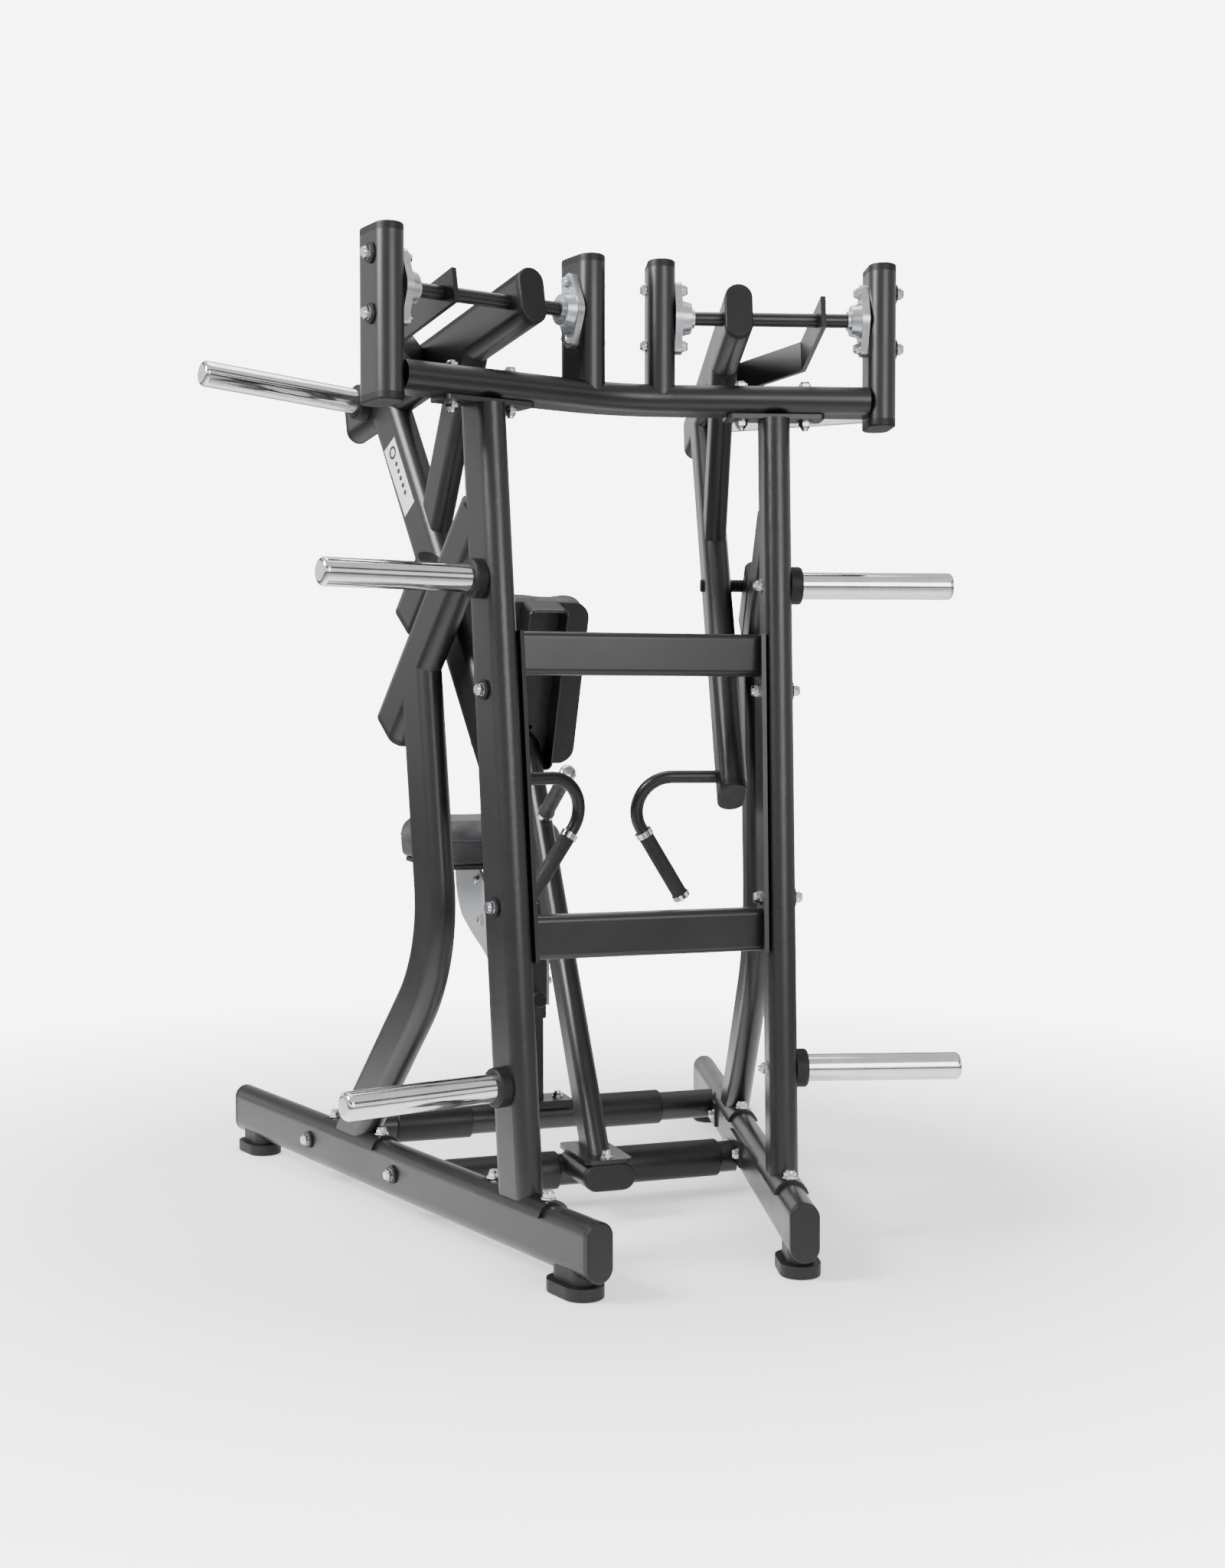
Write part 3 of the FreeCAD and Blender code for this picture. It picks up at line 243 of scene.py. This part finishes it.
# ------------------------------------------------------------ cushions
def replace_mesh(piece, mesh):
    """Swap in a new mesh and drop the old one."""
    old = piece.data
    piece.data = mesh
    bpy.data.meshes.remove(old)


def evaluated(piece):
    """Mesh of a piece with its modifiers applied."""
    graph = bpy.context.evaluated_depsgraph_get()
    return bpy.data.meshes.new_from_object(piece.evaluated_get(graph))


def inflated(name, node, root, out, move_mm):
    """Cushion blown up a little from its drawn block, flat where it rests on its board."""
    mesh = NODES[node].data.copy()
    pad = bpy.data.objects.new(name, mesh)
    bpy.context.scene.collection.objects.link(pad)
    for v in mesh.vertices:
        v.co = root + (v.co - root) * CUSHION_SHRINK
    remesh = pad.modifiers.new("remesh", "REMESH")
    remesh.mode = "VOXEL"
    remesh.voxel_size = VOXEL * MM
    replace_mesh(pad, evaluated(pad))
    pad.modifiers.clear()
    start = [v.co.copy() for v in pad.data.vertices]
    cloth = pad.modifiers.new("cloth", "CLOTH")
    cloth.settings.use_pressure = True
    cloth.settings.uniform_pressure_force = CLOTH_PRESSURE
    cloth.settings.effector_weights.gravity = 0.0
    cloth.point_cache.frame_end = CLOTH_FRAMES
    for step in range(1, CLOTH_FRAMES + 1):
        bpy.context.scene.frame_set(step)
    replace_mesh(pad, evaluated(pad))
    pad.modifiers.clear()
    bpy.context.scene.frame_set(1)
    for v, rest in zip(pad.data.vertices, start):
        move = v.co - rest
        if move.length > move_mm * MM:
            v.co = rest + move.normalized() * move_mm * MM
        behind = (v.co - root).dot(out)
        if behind < BOARD_AIR * MM:
            v.co += out * (BOARD_AIR * MM - behind)
    pad.data.materials.clear()
    pad.data.materials.append(VINYL)
    for face in pad.data.polygons:
        face.use_smooth = True
    relax = pad.modifiers.new("relax", "SMOOTH")
    relax.factor = RELAX_SHARE
    relax.iterations = RELAX_TURNS
    smooth = pad.modifiers.new("subdivision", "SUBSURF")
    smooth.levels = 1
    smooth.render_levels = 1
    return pad


def loop_points(root, across, up, out, size, corner, height):
    """Rounded rectangle around a pad, at a height above its board."""
    hx = size[0] / 2.0 - corner
    hy = size[1] / 2.0 - corner
    points = []
    for quarter, (sx, sy) in enumerate(((1, 1), (-1, 1), (-1, -1), (1, -1))):
        for i in range(CORNER_STEPS + 1):
            a = math.radians(90.0 * (quarter + i / CORNER_STEPS))
            x = sx * hx + corner * math.cos(a)
            y = sy * hy + corner * math.sin(a)
            points.append(root + (across * x + up * y + out * height) * MM)
    return points


def cord_loop(name, points, radius_mm, material):
    """Closed round cord through a row of points."""
    curve = bpy.data.curves.new(name, "CURVE")
    curve.dimensions = "3D"
    curve.bevel_depth = radius_mm * MM
    curve.bevel_resolution = 3
    spline = curve.splines.new("POLY")
    spline.points.add(len(points) - 1)
    for p, co in zip(spline.points, points):
        p.co = (*co, 1.0)
    spline.use_cyclic_u = True
    piece = bpy.data.objects.new(name, curve)
    bpy.context.scene.collection.objects.link(piece)
    curve.materials.append(material)
    return piece


chest = inflated("chest_cushion", "chest_pad", chest_root, PAD_OUT, CHEST_SWELL)
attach(chest, "frame")
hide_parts("chest_pad")
seat = inflated("seat_pad_cover", "seat_cushion", seat_root, Z_AXIS, SEAT_SWELL)
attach(seat, "seat")
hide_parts("seat_cushion")


def on_surface(pad, corners, step_mm, sink_mm):
    """Closed line of short steps that follows a cushion's skin, pressed in by a little."""
    bpy.context.view_layer.update()
    found = []
    for here, there in zip(corners, corners[1:] + corners[:1]):
        steps = max(1, round((there - here).length / (step_mm * MM)))
        for i in range(steps):
            near, normal = pad.closest_point_on_mesh(here.lerp(there, i / steps))[1:3]
            found.append(near - normal * sink_mm * MM)
    return found


# one sewn welt runs round each cushion, just below its crown
chest_loop = loop_points(chest_root, X_AXIS, PAD_UP, PAD_OUT, PAD_SIZE, CHEST_CORNER, PAD_SEAM)
chest_line = on_surface(chest, chest_loop, WELT_STEP, WELT_SINK)
chest_welt = cord_loop("chest_pad_welt", chest_line, WELT_R, VINYL)
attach(chest_welt, "frame")
seat_loop = loop_points(seat_root, X_AXIS, Y_AXIS, Z_AXIS, SEAT_SIZE, SEAT_CORNER, SEAT_SEAM)
seat_line = on_surface(seat, seat_loop, WELT_STEP, WELT_SINK)
seat_welt = cord_loop("seat_pad_welt", seat_line, WELT_R, VINYL)
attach(seat_welt, "seat")


# ------------------------------------------------------------ label on each pull arm
LABEL_CORNERS = ((408.0, 1464.0), (449.0, 1441.0), (366.0, 1309.5), (330.0, 1335.0))
LABEL_T = 0.4
LABEL_AIR = 0.05
PRINT_LIFT = 0.5
PRINT_T = 0.3
RING_AT = (414.0, 1435.0)
RING_R = 13.0
RING_HOLE = 8.0
DOTS = 5
DOT_AT = (399.0, 1412.0)
DOT_STEP = (8.6, 14.2)
DOT_R = 5.0
DOT_HOLE = 0.5
DISC_SIDES = 32


def label(name, side, corners, face_u, body):
    """Thin sheet with the given corners in t and z on a face of the side frame."""
    outward, along = side_axes(side)
    mesh = bpy.data.meshes.new(name)
    build = bmesh.new()
    low = [build.verts.new(side_point(side, face_u, t, z)) for t, z in corners]
    high = [build.verts.new(v.co + outward * LABEL_T * MM) for v in low]
    build.faces.new(high)
    build.faces.new(list(reversed(low)))
    for i in range(len(low)):
        j = (i + 1) % len(low)
        build.faces.new((low[i], low[j], high[j], high[i]))
    bmesh.ops.recalc_face_normals(build, faces=build.faces)
    build.to_mesh(mesh)
    build.free()
    piece = bpy.data.objects.new(name, mesh)
    bpy.context.scene.collection.objects.link(piece)
    mesh.materials.append(LABEL)
    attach(piece, body)


def disc(name, side, centre, face_u, radius, body, material, hole):
    """Flat printed ring or dot standing on a face of the side frame."""
    outward, along = side_axes(side)
    at = side_point(side, face_u, centre[0], centre[1])
    mesh = bpy.data.meshes.new(name)
    build = bmesh.new()
    loops = []
    for lift, rad in ((0.0, radius), (PRINT_T, radius), (PRINT_T, hole), (0.0, hole)):
        row = []
        for i in range(DISC_SIDES):
            a = math.tau * i / DISC_SIDES
            spoke = along * math.cos(a) + Z_AXIS * math.sin(a)
            row.append(build.verts.new(at + (outward * lift + spoke * rad) * MM))
        loops.append(row)
    for k in range(len(loops)):
        here, there = loops[k], loops[(k + 1) % len(loops)]
        for i in range(DISC_SIDES):
            j = (i + 1) % DISC_SIDES
            build.faces.new((here[i], here[j], there[j], there[i]))
    bmesh.ops.recalc_face_normals(build, faces=build.faces)
    build.to_mesh(mesh)
    build.free()
    piece = bpy.data.objects.new(name, mesh)
    bpy.context.scene.collection.objects.link(piece)
    mesh.materials.append(material)
    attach(piece, body)


PRINT_U = LEVER_FACE_U + PRINT_LIFT
for word, side in (("left", -1), ("right", 1)):
    body = word + "_lever"
    label(word + "_arm_label", side, LABEL_CORNERS, LEVER_FACE_U + LABEL_AIR, body)
    disc(word + "_label_ring", side, RING_AT, PRINT_U, RING_R, body, BLACK_PAINT, RING_HOLE)
    for i in range(DOTS):
        spot = (DOT_AT[0] - DOT_STEP[0] * i, DOT_AT[1] - DOT_STEP[1] * i)
        disc(word + "_label_dot_%d" % i, side, spot, PRINT_U, DOT_R, body, BLACK_PAINT, DOT_HOLE)


# ------------------------------------------------------------ studio, metres
FLOOR_SIZE = 60.0
FLOOR_DROP = 0.0005
FLOOR_FROM = 0.9
FLOOR_TO = 2.6
# name, place, what it points at, width, watts
LIGHTS = (
    ("key_light", (-3.7, -0.5, 3.4), (0, 0, 1.3), 1.8, 330),
    ("fill_light", (0.6, -4.8, 2.2), (0, 0, 1.0), 2.4, 110),
    ("top_light", (0, 0.6, 4.6), (0, 0, 0.6), 2.6, 90),
)
# height in the room from straight down to straight up, and how bright the room is there
BAND_STOPS = (
    (0.00, 0.50), (0.35, 0.50), (0.38, 0.12), (0.48, 0.15), (0.51, 1.00),
    (0.65, 0.95), (0.68, 0.10), (0.75, 0.10), (0.80, 0.70), (1.00, 0.55),
)
CAMERA_AT = (-1.1593, -3.6548, 0.9380)
CAMERA_TURN = -0.3352
CAMERA_TIP = 0.0363
LENS_MM = 44.4
SENSOR_MM = 36.0
FAR_CLIP = 100.0


def floor_material():
    """Plain pale studio floor that fades into the white room well away from the machine."""
    material = bpy.data.materials.new("pale_floor")
    material.use_nodes = True
    tree = material.node_tree
    tree.nodes.clear()
    place = add(tree, "ShaderNodeTexCoord").outputs["Object"]
    cloud = add(tree, CLOUD, {"Scale": per_mm(900.0), "Detail": 3.0}, {"Vector": place}).outputs[0]
    shade = add(tree, "ShaderNodeMix", {"data_type": "RGBA", 6: srgb("#fafafa"), 7: srgb("#fefefe")},
                {0: cloud})
    rough = add(tree, "ShaderNodeMapRange", {1: 0.3, 2: 0.7, 3: 0.7, 4: 0.8}, {0: cloud})
    body = add(tree, "ShaderNodeBsdfPrincipled", {
        "IOR": 1.45, "Specular IOR Level": 0.2,
        "Emission Color": srgb("#ffffff"), "Emission Strength": 0.6,
    }, {"Base Color": shade.outputs[2], "Roughness": rough.outputs[0]})
    clear = add(tree, "ShaderNodeBsdfTransparent")
    reach = add(tree, "ShaderNodeVectorMath", {"operation": "LENGTH"}, {0: place}).outputs["Value"]
    fade = add(tree, "ShaderNodeMapRange", {1: FLOOR_FROM, 2: FLOOR_TO, 3: 0.0, 4: 1.0}, {0: reach})
    mix = add(tree, "ShaderNodeMixShader", {}, {0: fade.outputs[0], 1: body.outputs[0], 2: clear.outputs[0]})
    add(tree, "ShaderNodeOutputMaterial", {}, {"Surface": mix.outputs[0]})
    return material


bpy.ops.mesh.primitive_plane_add(size=FLOOR_SIZE, location=(0, 0, -FLOOR_DROP))
floor = bpy.context.object
floor.name = "studio_floor"
floor.data.materials.append(floor_material())


def soft_light(name, place, aim, size, power):
    """Square area light turned towards a point."""
    lamp = bpy.data.lights.new(name, "AREA")
    lamp.size = size
    lamp.energy = power
    light = bpy.data.objects.new(name, lamp)
    bpy.context.scene.collection.objects.link(light)
    light.location = place
    light.rotation_euler = (Vector(aim) - Vector(place)).to_track_quat("-Z", "Y").to_euler()


for row in LIGHTS:
    soft_light(*row)

# the room lights the machine with soft bands, and shows plain white behind it
world = bpy.data.worlds.new("studio_world")
bpy.context.scene.world = world
world.use_nodes = True
sky = world.node_tree
sky.nodes.clear()
aim = add(sky, "ShaderNodeTexCoord").outputs["Generated"]
height = add(sky, "ShaderNodeSeparateXYZ", {}, {0: aim}).outputs["Z"]
level = add(sky, "ShaderNodeMapRange", {1: -1.0, 2: 1.0, 3: 0.0, 4: 1.0}, {0: height}).outputs[0]
bands = add(sky, "ShaderNodeValToRGB", {}, {0: level})
while len(bands.color_ramp.elements) < len(BAND_STOPS):
    bands.color_ramp.elements.new(1.0)
for stop, (where, grey) in zip(bands.color_ramp.elements, BAND_STOPS):
    stop.position = where
    stop.color = (grey, grey, grey, 1.0)
room = add(sky, "ShaderNodeBackground", {"Strength": 1.45}, {"Color": bands.outputs[0]})
white = add(sky, "ShaderNodeBackground", {"Color": srgb("#ffffff"), "Strength": 7.0})
seen = add(sky, "ShaderNodeLightPath").outputs["Is Camera Ray"]
both = add(sky, "ShaderNodeMixShader", {}, {0: seen, 1: room.outputs[0], 2: white.outputs[0]})
add(sky, "ShaderNodeOutputWorld", {}, {"Surface": both.outputs[0]})

# the camera stands at the tower side, a little left of the middle, level with the pads
lens = bpy.data.cameras.new("camera")
camera = bpy.data.objects.new("camera", lens)
bpy.context.scene.collection.objects.link(camera)
bpy.context.scene.camera = camera
lens.sensor_width = SENSOR_MM
lens.lens = LENS_MM
lens.clip_end = FAR_CLIP
level_out = math.cos(CAMERA_TIP)
look = Vector((-math.sin(CAMERA_TURN) * level_out, math.cos(CAMERA_TURN) * level_out, -math.sin(CAMERA_TIP)))
camera.location = CAMERA_AT
camera.rotation_euler = look.to_track_quat("-Z", "Y").to_euler()
